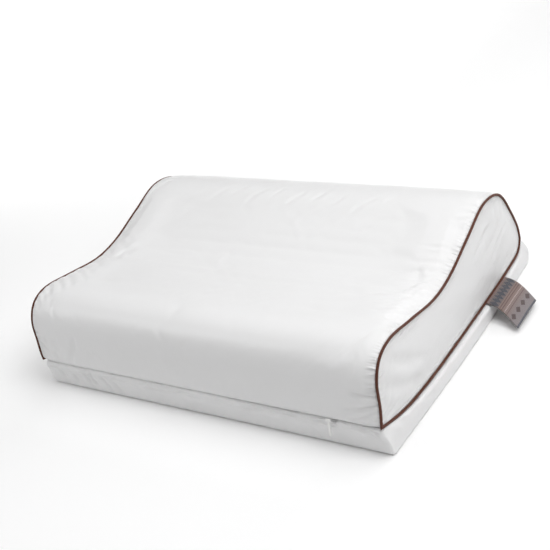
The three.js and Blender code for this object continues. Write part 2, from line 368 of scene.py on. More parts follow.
def tucked(piece, by=CORNER_TUCK):
    """Draws a piece in at the left end of the front seam, where the cloth is folded under."""
    place = points_of(piece)
    above = np.clip((place[:, 2] - 0.030) / 0.045, 0, 1)
    front = np.clip((-0.150 - place[:, 1]) / 0.060, 0, 1)
    left = np.clip((-place[:, 0] - 0.200) / 0.090, 0, 1)
    place[:, 0] += by * (1 - above) ** 2 * front ** 2 * (3 - 2 * front) * left ** 2
    put_points(piece, place)


over_line = smooth_line(OVER, CLOTH_PITCH)
under_line = smooth_line(UNDER, UNDER_PITCH)
seam_line = np.vstack([over_line[:-1], under_line[:-1]])
seam_out = outward(seam_line)
over_share = np.zeros(len(seam_line))
over_share[:len(over_line)] = np.sqrt(np.sin(np.pi * np.linspace(0, 1, len(over_line))).clip(0))
core = np.column_stack([
    np.clip(seam_line[:, 0], 0.045 - DEPTH / 2, 0.380 - DEPTH / 2), np.full(len(seam_line), 0.076)])


def wrap_ring(x, distance):
    """A cross-section of the cushion, its line moved out by a distance, or in towards the foam's core."""
    distance = np.broadcast_to(distance, len(seam_line))
    to_core = seam_line - core
    share = 1 + np.maximum(distance / np.linalg.norm(to_core, axis=1), -DEEPEST)
    place = np.where((distance >= -0.003)[:, None], seam_line + seam_out * distance[:, None],
                     core + to_core * share[:, None])
    x = x + np.sign(x) * (abs(x) / SEAM_PLANE) ** 4 * bow(place[:, 0], END_BOW)
    return np.column_stack([x, place])


crown = UNDER_CROWN + (OVER_CROWN - UNDER_CROWN) * over_share
seam_end = SEAM_PLANE - SEAM_INSET
right_places = np.concatenate([
    np.arange(0, FINE_FROM, CLOTH_PITCH), np.arange(FINE_FROM, seam_end - 0.001, FINE_PITCH), [seam_end]])
wrap_rings = []
for x in np.concatenate([-right_places[:0:-1], right_places]):
    draw_in = DRAW_IN_RIGHT if x > 0 else DRAW_IN_LEFT
    left = min((seam_end - abs(x)) / draw_in, 1)
    share = math.sqrt(1 - (1 - left) ** 2)
    wrap_rings.append(wrap_ring(x, crown * share - 0.0003 * (1 - share)))
# Behind an end panel the foam's end is closed by rings. Each has its place along the pillow, and how far
# it is drawn in from the seam.
for x, inset in ((0.2882, 0.0024), (0.2884, 0.009), (0.2896, 0.022), (0.2904, 0.040)):
    wrap_rings.append(wrap_ring(x, -inset))
    wrap_rings.insert(0, wrap_ring(-x, -inset))
cushion = stuffed("wrap_panel", wrap_rings)

# The cloth is cut a little full. It is held fast by the seams and underneath, and softly by the foam. The
# simulation lets it find its own unevenness there, and a cap keeps it close to the foam.
ring_count = len(wrap_rings)
from_end = np.minimum(np.arange(ring_count), np.arange(ring_count)[::-1])
along_x = np.abs(np.repeat([ring[0][0] for ring in wrap_rings], len(seam_line)))
ease = np.clip((along_x - 0.16) / 0.10, 0, 1)
held = FOAM_HOLD - (FOAM_HOLD - FOAM_HOLD_AT_ENDS) * ease
held[np.repeat(from_end < 5, len(seam_line))] = 1
held[np.tile(over_share == 0, ring_count)] = 1
for group_name, weights in (("held", held), ("ease", ease)):
    vertex_group = cushion.vertex_groups.new(name=group_name)
    for i, weight in enumerate(weights):
        vertex_group.add([i], float(weight), "REPLACE")
start = points_of(cushion)
select_only(cushion)
cloth = cushion.modifiers.new("cloth", "CLOTH")
cloth.settings.quality = 5
cloth.settings.mass = 0.2
cloth.settings.tension_stiffness = 15
cloth.settings.compression_stiffness = 15
cloth.settings.shear_stiffness = 5
cloth.settings.bending_stiffness = 0.1
cloth.settings.vertex_group_mass = "held"
cloth.settings.pin_stiffness = 1
cloth.settings.vertex_group_shrink = "ease"
cloth.settings.shrink_min = -0.004
cloth.settings.shrink_max = -0.05
cloth.settings.use_pressure = True
cloth.settings.uniform_pressure_force = 1.2
cloth.settings.effector_weights.gravity = 0
for frame_number in range(1, CLOTH_FRAMES + 1):
    bpy.context.scene.frame_set(frame_number)
bpy.ops.object.modifier_apply(modifier="cloth")
bpy.context.scene.frame_set(1)
moved = points_of(cushion) - start
far = np.linalg.norm(moved, axis=1)
put_points(cushion, start + moved * (np.minimum(far, CLOTH_CAP) / np.maximum(far, 1e-9))[:, None])
with_modifier(cushion, "SUBSURF", levels=1, render_levels=1)
across, up = cloth_places(cushion)
to_seam = SEAM_PLANE - np.abs(across)
on_top = hump(up, 0.29, 0.24) * (up < 0.56)
off_seams = np.clip(to_seam / 0.006, 0, 1) * np.clip(up / 0.010, 0, 1)
# The cloth is slack enough to crumple on the crest of the high lobe, beside the left piping, beside the
# right piping, at the ends of the front seam and, faintly, all over the top.
slack = (
    0.9 * hump(up, 0.415, 0.040) * hump(across, 0.0, 0.24)
    + 1.0 * hump(to_seam, 0, 0.050) * (across < 0) * hump(up, 0.15, 0.10)
    + 0.5 * hump(to_seam, 0, 0.035) * (across > 0) * on_top
    + 0.8 * hump(to_seam, 0, 0.060) * hump(up, 0.0, 0.05)
    + 0.12 * on_top)
# It puffs out before the seam, low at the right piping.
puffed = hump(to_seam, 0.020, 0.012) * (across > 0) * hump(up, 0.060, 0.042) * np.clip(up / 0.012, 0, 1)
raised(cushion, CORNER_PUFF * puffed + creases(across, up, WRAP_CREASES)
       - CRUMPLE_DEPTH * slack * off_seams * crumple(across, up, math.radians(38), 0.030, 0.011))
tucked(cushion)


def group_with(name, inputs, outputs):
    """An empty shader node group with named inputs and outputs."""
    group = bpy.data.node_groups.new(name, "ShaderNodeTree")
    for label, kind, value in inputs:
        socket = group.interface.new_socket(label, in_out="INPUT", socket_type=kind)
        if value is not None:
            socket.default_value = value
    for label, kind in outputs:
        group.interface.new_socket(label, in_out="OUTPUT", socket_type=kind)
    return group


def add_node(tree, kind, **settings):
    """Adds a node, with its properties by name and its input sockets as a dict of name or number."""
    node = tree.nodes.new(kind)
    sockets = settings.pop("sockets", {})
    for key, value in settings.items():
        setattr(node, key, value)
    for key, value in sockets.items():
        if isinstance(value, bpy.types.NodeSocket):
            tree.links.new(value, node.inputs[key])
        else:
            node.inputs[key].default_value = value
    return node


def maths(tree, operation, *values):
    """The result of a maths node on values or sockets."""
    node = add_node(tree, "ShaderNodeMath", operation=operation, sockets=dict(enumerate(values)))
    return node.outputs[0]


# Sateen: each warp thread passes over four weft threads and under one, and the place where it goes
# under steps by two threads from row to row.
sateen = group_with(
    "sateen weave",
    [("Cloth", "NodeSocketVector", None), ("Pitch", "NodeSocketFloat", 0.0005)],
    [("Height", "NodeSocketFloat")])
entry = add_node(sateen, "NodeGroupInput")
leave = add_node(sateen, "NodeGroupOutput")
split = add_node(sateen, "ShaderNodeSeparateXYZ", sockets={0: entry.outputs["Cloth"]})
warp = maths(sateen, "DIVIDE", split.outputs["X"], entry.outputs["Pitch"])
weft = maths(sateen, "DIVIDE", split.outputs["Y"], entry.outputs["Pitch"])
step = maths(sateen, "ADD", maths(sateen, "FLOOR", warp), maths(
    sateen, "MULTIPLY", maths(sateen, "FLOOR", weft), 2.0))
under_here = maths(sateen, "LESS_THAN", maths(sateen, "FLOORED_MODULO", step, 5.0), 0.5)
warp_round = maths(sateen, "SINE", maths(sateen, "MULTIPLY", maths(sateen, "FRACT", warp), math.pi))
weft_round = maths(sateen, "SINE", maths(sateen, "MULTIPLY", maths(sateen, "FRACT", weft), math.pi))
over_part = maths(sateen, "MULTIPLY", warp_round, maths(sateen, "SUBTRACT", 1.0, under_here))
under_part = maths(sateen, "MULTIPLY", maths(sateen, "MULTIPLY", weft_round, 0.6), under_here)
sateen.links.new(maths(sateen, "ADD", over_part, under_part), leave.inputs["Height"])

# Slub: threads are a little thicker in places, so the cloth has faint streaks along both threads.
slub = group_with(
    "slub and cloud",
    [("Cloth", "NodeSocketVector", None), ("Place", "NodeSocketVector", None)],
    [("Streak", "NodeSocketFloat"), ("Cloud", "NodeSocketFloat")])
entry = add_node(slub, "NodeGroupInput")
leave = add_node(slub, "NodeGroupOutput")
streaks = []
for stretch in ((900, 30, 1), (30, 900, 1)):
    mapping = add_node(slub, "ShaderNodeMapping", sockets={
        "Vector": entry.outputs["Cloth"], "Scale": stretch})
    streaks.append(add_node(slub, "ShaderNodeTexNoise", noise_dimensions="2D", sockets={
        "Vector": mapping.outputs[0], "Scale": 1.0, "Detail": 2.0}).outputs["Fac"])
slub.links.new(maths(slub, "MULTIPLY", maths(slub, "ADD", *streaks), 0.5), leave.inputs["Streak"])
cloud = add_node(slub, "ShaderNodeTexNoise", sockets={
    "Vector": entry.outputs["Place"], "Scale": 7.0, "Detail": 4.0, "Roughness": 0.55})
slub.links.new(cloud.outputs["Fac"], leave.inputs["Cloud"])

# Puckers: beside a seam the cloth is gathered into tiny pleats that run square to it, more in some places
# than in others.
pucker = group_with(
    "seam puckers",
    [("Cloth", "NodeSocketVector", None), ("Seam", "NodeSocketFloat", 0.0)],
    [("Height", "NodeSocketFloat")])
entry = add_node(pucker, "NodeGroupInput")
leave = add_node(pucker, "NodeGroupOutput")
pleats = add_node(pucker, "ShaderNodeTexNoise", noise_dimensions="2D", sockets={
    "Vector": add_node(pucker, "ShaderNodeMapping", sockets={
        "Vector": entry.outputs["Cloth"], "Scale": (45, 240, 1)}).outputs[0],
    "Scale": 1.0, "Detail": 1.5})
near = add_node(pucker, "ShaderNodeMapRange", interpolation_type="SMOOTHSTEP", sockets={
    "Value": entry.outputs["Seam"], "From Min": 0.001, "From Max": 0.016, "To Min": 1.0, "To Max": 0.0})
cluster = add_node(pucker, "ShaderNodeMapRange", sockets={
    "Value": add_node(pucker, "ShaderNodeTexNoise", noise_dimensions="2D", sockets={
        "Vector": entry.outputs["Cloth"], "Scale": 22.0, "Detail": 1.0}).outputs["Fac"],
    "From Min": 0.38, "From Max": 0.62, "To Min": 0.45, "To Max": 1.0})
pleated = maths(pucker, "MULTIPLY", pleats.outputs["Fac"], near.outputs["Result"])
pucker.links.new(maths(pucker, "MULTIPLY", pleated, cluster.outputs["Result"]), leave.inputs["Height"])


def seam_distance(piece, distance):
    """Keeps each point's distance from the nearest piped seam on the piece, for its material."""
    piece.data.attributes.new("seam", "FLOAT", "POINT").data.foreach_set("value", distance)


def new_material(name):
    """A material, with its node tree and its shader."""
    material = bpy.data.materials.new(name)
    material.use_nodes = True
    return material, material.node_tree, material.node_tree.nodes["Principled BSDF"]


def cloth_material(name, light, dark, roughness, sheen, pitch=0.0005):
    """White satin cotton: a sateen weave and faint slubs in the bump, and a clouded white."""
    material, tree, shader = new_material(name)
    places = add_node(tree, "ShaderNodeTexCoord")
    weave = add_node(tree, "ShaderNodeGroup", node_tree=sateen, sockets={
        "Cloth": places.outputs["UV"], "Pitch": pitch})
    uneven = add_node(tree, "ShaderNodeGroup", node_tree=slub, sockets={
        "Cloth": places.outputs["UV"], "Place": places.outputs["Object"]})
    mixed = add_node(tree, "ShaderNodeMix", data_type="RGBA", sockets={
        "Factor": maths(tree, "ADD", maths(tree, "MULTIPLY", uneven.outputs["Streak"], 0.35),
                        maths(tree, "MULTIPLY", uneven.outputs["Cloud"], 0.65)),
        6: (*dark, 1), 7: (*light, 1)})
    tree.links.new(mixed.outputs[2], shader.inputs["Base Color"])
    rough = add_node(tree, "ShaderNodeMapRange", sockets={
        "Value": uneven.outputs["Streak"], "To Min": roughness - 0.06, "To Max": roughness + 0.06})
    tree.links.new(rough.outputs["Result"], shader.inputs["Roughness"])
    woven = add_node(tree, "ShaderNodeBump", sockets={
        "Strength": 0.25, "Distance": 0.00012, "Height": weave.outputs["Height"]})
    slubbed = add_node(tree, "ShaderNodeBump", sockets={
        "Strength": 0.35, "Distance": 0.00025, "Height": uneven.outputs["Streak"],
        "Normal": woven.outputs["Normal"]})
    gathered = add_node(tree, "ShaderNodeGroup", node_tree=pucker, sockets={
        "Cloth": places.outputs["UV"],
        "Seam": add_node(tree, "ShaderNodeAttribute", attribute_name="seam").outputs["Fac"]})
    puckered = add_node(tree, "ShaderNodeBump", sockets={
        "Strength": 1.0, "Distance": 0.0042, "Height": gathered.outputs["Height"],
        "Normal": slubbed.outputs["Normal"]})
    tree.links.new(puckered.outputs["Normal"], shader.inputs["Normal"])
    shader.inputs["Specular IOR Level"].default_value = 0.4
    shader.inputs["Sheen Weight"].default_value = sheen
    shader.inputs["Sheen Roughness"].default_value = 0.4
    return material


wrap_cotton = cloth_material("wrap panel satin", (0.84, 0.84, 0.845), (0.79, 0.787, 0.785), 0.34, 0.15)
cushion.data.materials.append(wrap_cotton)
seam_distance(cushion, to_seam)
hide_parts("contour_cushion")
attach(cushion, "root")

# End panels
# Each end is closed by a panel of the same cloth, cut to the wave and sewn in with the piping. The foam
# behind it makes it swell a little, and it creases where the cut curves tightly, at the back and at
# the front corner.
PANEL_CLOTH = 0.0015
PANEL_SWELL = 0.0052
PANEL_SOFTNESS = 0.018
PANEL_CRUMPLE_DEPTH = 0.0009
PANEL_SUNK = 0.0006
PANEL_IN = 0.0014
PANEL_ACROSS, PANEL_UP = 190, 56

# Creases in an end panel, in millimetres from the pillow's middle to the back and up, laid out as above.
PANEL_CREASES = [
    (-217, 49, -188, 74, 1, 3, 1.0),
    (-214, 46, -172, 57, 1, 3, 0.9),
    (-208, 66, -196, 92, 0, 3.5, 0.7),
    (-200, 88, -118, 42, -3, 8, 2.4),
    (-194, 124, -104, 66, -4, 8, 2.0),
    (-60, 92, -10, 60, 3, 10, 0.7),
    (20, 100, 60, 58, 3, 9, 0.6),
    (54, 103, 118, 121, 3, 4, 2.0),
    (78, 88, 152, 112, -2, 5, 1.7),
    (96, 70, 170, 96, 4, 4, 1.8),
    (112, 50, 140, 76, -2, 7, 1.0),
    (146, 148, 130, 110, 1, 3.5, 0.9),
    (162, 144, 148, 108, 1, 3.5, 0.8),
    (196, 94, 199, 56, 1, 3, 0.9),
    (205, 60, 178, 48, 0, 3.5, 0.8),
    (206, 48, 170, 34, 0, 3, 0.7),
]

rim_line = seam_line - seam_out * PANEL_IN
rim_over = rim_line[:len(over_line)]
rim_under = np.vstack([rim_line[len(over_line) - 1:], rim_line[:1]])[::-1]


def end_panel(name, side):
    """The outer face of an end panel as a grid from front to back, which is then given its thickness."""
    # The columns stand closer near the front and the back, where the rim curves most.
    evenly = np.linspace(0, 1, PANEL_ACROSS + 1)
    crowded = 0.5 - 0.5 * np.cos(np.pi * evenly)
    front, back = rim_over[0, 0], rim_over[:, 0].max()
    columns = front + (back - front) * (0.65 * crowded + 0.35 * evenly)
    top = np.interp(columns, rim_over[:, 0], rim_over[:, 1])
    bottom = np.interp(columns, rim_under[:, 0], rim_under[:, 1])
    up = np.linspace(0, 1, PANEL_UP + 1)
    z = bottom[:, None] + (top - bottom)[:, None] * up
    y = np.repeat(columns[:, None], PANEL_UP + 1, axis=1)
    flat = np.column_stack([y.ravel(), z.ravel()])
    away = np.full(len(flat), 1.0)
    for a, b in zip(rim_line, np.roll(rim_line, -1, axis=0)):
        t = np.clip(((flat - a) @ (b - a)) / ((b - a) @ (b - a)), 0, 1)
        away = np.minimum(away, np.linalg.norm(flat - a - t[:, None] * (b - a), axis=1))
    swell = PANEL_SWELL * (1 - np.exp(-(away / PANEL_SOFTNESS) ** 1.4))
    swell *= 0.3 + 0.7 * np.clip((flat[:, 1] - 0.028) / 0.040, 0, 1)
    slack = 0.3 + hump(flat[:, 0], 0.150, 0.070) + 0.8 * hump(flat[:, 0], -0.190, 0.040)
    folds = creases(flat[:, 0], flat[:, 1], PANEL_CREASES) * np.clip(away / 0.004, 0.2, 1)
    folds -= PANEL_CRUMPLE_DEPTH * slack * np.clip(away / 0.012, 0, 1) * crumple(
        flat[:, 0], flat[:, 1], math.radians(20), 0.026, 0.012)
    x = side * (SEAM_PLANE - PANEL_SUNK + swell + folds + bow(flat[:, 0], END_BOW))
    facets, across = [], PANEL_UP + 1
    for i in range(PANEL_ACROSS):
        for j in range(PANEL_UP):
            a = i * across + j
            facets.append((a, a + across, a + across + 1, a + 1)[::side])
    panel = meshed(name, np.column_stack([x, flat]).tolist(), facets, flat[np.array(facets).ravel()])
    seam_distance(panel, away)
    # The panel comes to a point at the front and the back, where a column of the grid is one point.
    select_only(panel)
    bpy.ops.object.mode_set(mode="EDIT")
    bpy.ops.mesh.select_all(action="SELECT")
    bpy.ops.mesh.remove_doubles(threshold=0.000001)
    bpy.ops.object.mode_set(mode="OBJECT")
    return panel


end_cotton = cloth_material("end panel satin", (0.84, 0.84, 0.845), (0.79, 0.787, 0.785), 0.46, 0.15)
for side, end in ((-1, "left"), (1, "right")):
    panel = end_panel(f"end_cloth_{end}", side)
    tucked(panel)
    with_modifier(panel, "SOLIDIFY", thickness=PANEL_CLOTH, offset=-1)
    panel.data.materials.append(end_cotton)
    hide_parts(f"end_panel_{end}")
    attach(panel, "root")

# Piping
# A cord in a strip of brown cotton cut on the bias, caught between the wrap panel and an end panel all
# the way round each end. It turns a sharp corner at the front seam, and the left one is drawn deeper
# into its seam.
PIPING_SIDES = 14
PIPING_PITCH = 0.0025
PIPING_UNEVEN = 0.05
PIPING_SUNK_LEFT = 0.0007
piping_line = np.vstack([smooth_line(OVER, PIPING_PITCH)[:-1], smooth_line(UNDER, PIPING_PITCH)[:-1]])


def piping_loop(name, side):
    """A tube round the seam line, a little uneven as a covered cord is."""
    out = outward(piping_line)
    count = len(piping_line)
    sunk = PIPING_SUNK_LEFT if side < 0 else 0.0
    reach = np.concatenate([[0], np.cumsum(np.linalg.norm(
        np.diff(piping_line, axis=0, append=piping_line[:1]), axis=1))])
    points, facets, maps = [], [], []
    for i, (place, way) in enumerate(zip(piping_line, out)):
        uneven = noise.noise(Vector((place[0] * 60, place[1] * 60, side * 3)))
        radius = PIPING_RADIUS * (1 + PIPING_UNEVEN * uneven)
        x = side * (SEAM_PLANE + bow(place[0], END_BOW))
        for k in range(PIPING_SIDES):
            turn = 2 * math.pi * k / PIPING_SIDES
            lift = radius * math.cos(turn)
            points.append((x + radius * math.sin(turn), *(place + way * (lift - sunk))))
            i2, k2 = (i + 1) % count, (k + 1) % PIPING_SIDES
            a, b = i * PIPING_SIDES + k, i * PIPING_SIDES + k2
            c, d = i2 * PIPING_SIDES + k, i2 * PIPING_SIDES + k2
            facets.append((a, b, d, c))
            girth = 2 * math.pi * PIPING_RADIUS / PIPING_SIDES
            maps += [(reach[i], k * girth), (reach[i], (k + 1) * girth),
                     (reach[i + 1], (k + 1) * girth), (reach[i + 1], k * girth)]
    return meshed(name, points, facets, maps)


bias_cotton, tree, shader = new_material("brown bias cotton")
places = add_node(tree, "ShaderNodeTexCoord")
turned = add_node(tree, "ShaderNodeMapping", sockets={
    "Vector": places.outputs["UV"], "Rotation": (0, 0, math.radians(45))})
weave = add_node(tree, "ShaderNodeGroup", node_tree=sateen, sockets={
    "Cloth": turned.outputs[0], "Pitch": 0.00045})
uneven = add_node(tree, "ShaderNodeGroup", node_tree=slub, sockets={
    "Cloth": places.outputs["UV"], "Place": places.outputs["Object"]})
# The brown varies at random in clouds, which is its own tone. It is also painted darker in the hollows
# between the threads and lighter on their tops, as painted shade and highlight.
tone_and_weave_shade = add_node(tree, "ShaderNodeMix", data_type="RGBA", sockets={
    "Factor": maths(tree, "ADD", maths(tree, "MULTIPLY", weave.outputs["Height"], 0.5),
                    maths(tree, "MULTIPLY", uneven.outputs["Cloud"], 0.5)),
    6: (0.032, 0.010, 0.006, 1), 7: (0.160, 0.050, 0.026, 1)})
tree.links.new(tone_and_weave_shade.outputs[2], shader.inputs["Base Color"])
woven = add_node(tree, "ShaderNodeBump", sockets={
    "Strength": 0.6, "Distance": 0.0002, "Height": weave.outputs["Height"]})
tree.links.new(woven.outputs["Normal"], shader.inputs["Normal"])
shader.inputs["Roughness"].default_value = 0.5
shader.inputs["Specular IOR Level"].default_value = 0.3
shader.inputs["Sheen Weight"].default_value = 0.2
shader.inputs["Sheen Roughness"].default_value = 0.35
shader.inputs["Sheen Tint"].default_value = (0.75, 0.42, 0.34, 1)

for side, end in ((-1, "left"), (1, "right")):
    loop = piping_loop(f"piping_loop_{end}", side)
    tucked(loop)
    loop.data.materials.append(bias_cotton)
    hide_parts(f"piping_{end}")
    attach(loop, "root")

# Base layer
# A flat sheet of foam in its own cover of the same cloth. It can be zipped off, its top follows the
# cushion's underside, and its front and back bands rise to the seams. Its corners are soft, and the
# cloth is pulled into a ridge at the front corners.
BASE_END = 0.294
BASE_SHIFT = 0.003
BASE_ROUND = 0.0045
BASE_BOW = 0.005
LIP_LEAN = 0.006
LIP_FROM = 0.020
CRADLE_GAP = 0.0028
CRADLE_GAP_FRONT = 0.0012
CRADLE_PITCH = 0.011
BAND_PITCH = 0.003
BASE_PITCH = 0.0045
BASE_CRUMPLE_DEPTH = 0.0007
RIM_PLUMP = 0.0016
CORNER_PLUMP = 0.0016
ZIP_GAP_DEPTH = 0.004
ZIP_GAP_X = 0.2255
BACK_BAND = [
    ("back rim", 0.430, 0.038),
    ("back face", 0.437, 0.022),
    ("back foot", 0.434, 0.004),
    ("back of the underside", 0.428, 0.0),
]
FRONT_BAND = [
    ("front of the underside", -0.003, 0.0),
    ("front foot", -0.0062, 0.004),
    ("front face", -0.008, 0.022),
    ("front rim", -0.011, 0.037),
]

# Creases in the front band, in millimetres along the pillow and up from the underside.
FRONT_CREASES = [
    (-283, 7, -238, 9, 0, 2.4, 0.5),
    (-258, 40, -252, 14, 1, 3.4, 1.8),
    (-232, 40, -226, 12, 1, 3.4, 2.2),
    (-206, 42, -197, 13, 1, 3.4, 2.8),
    (-191, 42, -186, 16, -1, 3.4, 2.8),
    (-172, 40, -160, 9, 1, 3.4, 2.3),
    (-149, 34, -140, 8, 0, 3.4, 1.7),
    (-104, 38, -92, 10, 1, 4, 0.5),
    (-20, 38, -8, 8, 1, 5, 0.4),
    (90, 38, 104, 10, 1, 5, 0.4),
    (180, 40, 196, 12, 1, 4, 0.5),
    (250, 42, 284, 33, 1, 2.8, 2.0),
    (264, 38, 290, 22, 1, 3, 1.7),
]

# Creases in the side bands, in millimetres to the back and up.
SIDE_CREASES = [
    (-213, 34, -194, 14, 1, 3.4, 1.7),
    (-203, 36, -180, 22, 1, 3.2, 1.6),
    (-192, 33, -168, 12, 2, 3.6, 1.3),
    (-150, 36, -128, 14, 1, 3.6, 0.6),
    (-70, 32, -52, 8, 1, 4, 0.4),
    (30, 30, 46, 8, 1, 4, 0.4),
    (150, 32, 166, 10, 1, 3.4, 0.6),
    (196, 36, 206, 10, -1, 3, 0.9),
]

cradle = smooth_line(UNDER, CRADLE_PITCH)
step = np.gradient(cradle, axis=0)
step /= np.linalg.norm(step, axis=1)[:, None]
gap = CRADLE_GAP - (CRADLE_GAP - CRADLE_GAP_FRONT) * np.clip((-0.190 - cradle[:, 0]) / 0.025, 0, 1)
cradle = cradle + np.column_stack([-step[:, 1], step[:, 0]]) * gap[:, None]
back_line, front_line = smooth_line(BACK_BAND, BAND_PITCH), smooth_line(FRONT_BAND, BAND_PITCH)
flat_run = np.linspace(back_line[-1], front_line[0], 20)[1:-1]
base_line = np.vstack([cradle[::-1], back_line, flat_run, front_line])
base_core = np.column_stack([
    np.clip(base_line[:, 0], 0.014 - DEPTH / 2, 0.416 - DEPTH / 2), np.full(len(base_line), 0.011)])


def base_ring(x, inset):
    """A cross-section of the base layer, drawn in towards its core by an inset."""
    to_core = base_line - base_core
    share = 1 - np.minimum(inset / np.linalg.norm(to_core, axis=1), DEEPEST)
    place = base_core + to_core * share[:, None]
    out = bow(place[:, 0], BASE_BOW) - LIP_LEAN * np.maximum(place[:, 1] - LIP_FROM, 0) / LIP_FROM
    x = x + np.sign(x) * (abs(x) / BASE_END) ** 4 * out
    return np.column_stack([x + BASE_SHIFT, place])


# Each ring has its place along the layer, and how far it is drawn in where the end is rounded.
base_places = [(x, 0) for x in np.arange(0, BASE_END - BASE_ROUND - 0.002, BASE_PITCH)]
for share in (0.0, 0.3, 0.5, 0.68, 0.82, 0.92, 0.98, 1.0):
    base_places.append((BASE_END - BASE_ROUND * (1 - share),
                        BASE_ROUND * (1 - (1 - share ** 2.4) ** (1 / 2.4))))
base_rings = [base_ring(-x, inset) for x, inset in base_places[:0:-1]]
base_rings += [base_ring(x, inset) for x, inset in base_places]
base = stuffed("base_cover", base_rings)
with_modifier(base, "SUBSURF", levels=1, render_levels=1)
x, y, z = points_of(base).T
on_front = np.clip((-0.200 - y) / 0.010, 0, 1) * np.clip((0.298 - np.abs(x)) / 0.006, 0, 1)
on_side = np.clip((np.abs(x) - 0.288) / 0.004, 0, 1) * np.clip((0.222 + y) / 0.006, 0, 1)
above_floor = np.clip((z - 0.002) / 0.006, 0, 1) * np.clip((0.0425 - z) / 0.004, 0.15, 1)
folds = above_floor * (
    on_front * creases(x, z, FRONT_CREASES) + on_side * creases(y, z, SIDE_CREASES)
    - BASE_CRUMPLE_DEPTH * (on_front + on_side) * crumple(x + y, z, math.radians(70), 0.030, 0.013))
# The zip stands a little open beside its slider. Further left the rim is plump and closes the seam, and
# the right front corner is plump too.
zip_gap = hump(x, ZIP_GAP_X, 0.0035) * hump(z, 0.045, 0.005) * (y < -0.200)
rim = (hump(z, 0.043, 0.005) * (y < -0.205)
       * np.clip((0.13 - x) / 0.14, 0, 1) * np.clip((x + 0.285) / 0.03, 0, 1))
corner = (np.clip((x - 0.284) / 0.006, 0, 1) * np.clip((-0.160 - y) / 0.040, 0, 1)
          * np.clip((z - 0.020) / 0.014, 0, 1))
raised(base, folds - ZIP_GAP_DEPTH * zip_gap + RIM_PLUMP * rim + CORNER_PLUMP * corner)
tucked(base, 0.007)
# The cover's white is a little lighter than the same cloth on the cushion. This is painted light that
# brightens its shaded front and side bands.
base_cotton_painted_lighter = cloth_material("base cover satin painted lighter", (0.86, 0.86, 0.865), (0.815, 0.812, 0.81), 0.46, 0.15)
base.data.materials.append(base_cotton_painted_lighter)
on_band = (y < -0.200) & (np.abs(x) < 0.289)
seam_distance(base, np.where(on_band, np.abs(z - 0.040), 1.0))
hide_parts("base_layer")
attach(base, "root")

# Label
# A woven satin ribbon tab, its cut end caught in the seam under the piping. It runs out over the base
# layer's edge, bends down past it and leans to the front. Its bands and lozenges are woven in.
LABEL_WIDTH = 0.066
LABEL_LENGTH = 0.057
LABEL_THICKNESS = 0.0010
LABEL_ROOT = (0.2938, 0.1045, 0.0236)
LABEL_LEVEL = 0.008
LABEL_BEND = 0.025
LABEL_TURN = 0.42
LABEL_LEAN = 0.22
LABEL_SWEEP = 4.8
LABEL_COCKLE = 0.0006

bpy.ops.object.select_all(action="DESELECT")
bpy.ops.mesh.primitive_grid_add(x_subdivisions=40, y_subdivisions=36, size=1)
label = bpy.context.object
label.name = "ribbon_label"
label.data.uv_layers[0].name = "cloth"
bend_radius = LABEL_BEND / LABEL_TURN
for vertex in label.data.vertices:
    along = (vertex.co.x + 0.5) * LABEL_LENGTH
    across = vertex.co.y * LABEL_WIDTH
    curved = min(max(along - LABEL_LEVEL, 0), LABEL_BEND)
    straight = max(along - LABEL_LEVEL - LABEL_BEND, 0)
    turn = curved / bend_radius
    reach = min(along, LABEL_LEVEL) + bend_radius * math.sin(turn) + straight * math.cos(turn)
    drop = bend_radius * (1 - math.cos(turn)) + straight * math.sin(turn)
    cockle = LABEL_COCKLE * math.sin(across * 95 + 1.2) * (along / LABEL_LENGTH) ** 1.5
    forward = LABEL_LEAN * reach + LABEL_SWEEP * reach ** 2
    vertex.co = (LABEL_ROOT[0] + reach, LABEL_ROOT[1] + across - forward, LABEL_ROOT[2] - drop + cockle)
label.data.polygons.foreach_set("use_smooth", [True] * len(label.data.polygons))
with_modifier(label, "SOLIDIFY", thickness=LABEL_THICKNESS, offset=0)

ribbon, tree, shader = new_material("woven ribbon")
places = add_node(tree, "ShaderNodeTexCoord")
split = add_node(tree, "ShaderNodeSeparateXYZ", sockets={0: places.outputs["UV"]})
along, across = split.outputs["X"], split.outputs["Y"]


def band(low, high):
    """A mask that is 1 between two places along the label, from the piping at 0 to its edge at 1."""
    return maths(tree, "MULTIPLY", maths(tree, "GREATER_THAN", along, low),
                 maths(tree, "LESS_THAN", along, high))


def lozenges(middle, high, many, fill):
    """A mask of lozenges in a row across the label, at a place along it."""
    cell = maths(tree, "FRACT", maths(tree, "MULTIPLY", across, many))
    aside = maths(tree, "ABSOLUTE", maths(tree, "SUBTRACT", maths(tree, "MULTIPLY", cell, 2.0), 1.0))
    up = maths(tree, "ABSOLUTE", maths(tree, "DIVIDE", maths(tree, "SUBTRACT", along, middle), high / 2))
    return maths(tree, "LESS_THAN", maths(tree, "ADD", aside, up), fill)


def painted(under_colour, mask, colour):
    """A colour laid over another where a mask is 1."""
    return add_node(tree, "ShaderNodeMix", data_type="RGBA", sockets={
        "Factor": mask, 6: under_colour, 7: (*colour, 1)}).outputs[2]


ground = add_node(tree, "ShaderNodeMix", data_type="RGBA", sockets={
    "Factor": add_node(tree, "ShaderNodeMapRange", interpolation_type="SMOOTHSTEP", sockets={
        "Value": along, "From Min": 0.45, "From Max": 0.85}).outputs["Result"],
    6: (0.235, 0.155, 0.135, 1), 7: (0.25, 0.215, 0.22, 1)}).outputs[2]
colour = painted(ground, band(0.07, 0.34), (0.15, 0.115, 0.115))
colour = painted(colour, lozenges(0.205, 0.25, 8.0, 1.12), (0.030, 0.034, 0.052))
colour = painted(colour, band(0.375, 0.395), (0.11, 0.055, 0.045))
colour = painted(colour, band(0.435, 0.455), (0.11, 0.055, 0.045))
colour = painted(colour, lozenges(0.53, 0.05, 22.0, 0.8), (0.52, 0.42, 0.40))
colour = painted(colour, band(0.60, 0.615), (0.13, 0.07, 0.06))
colour = painted(colour, lozenges(0.77, 0.20, 4.0, 0.75), (0.085, 0.050, 0.050))
colour = painted(colour, band(0.955, 1.0), (0.09, 0.095, 0.12))
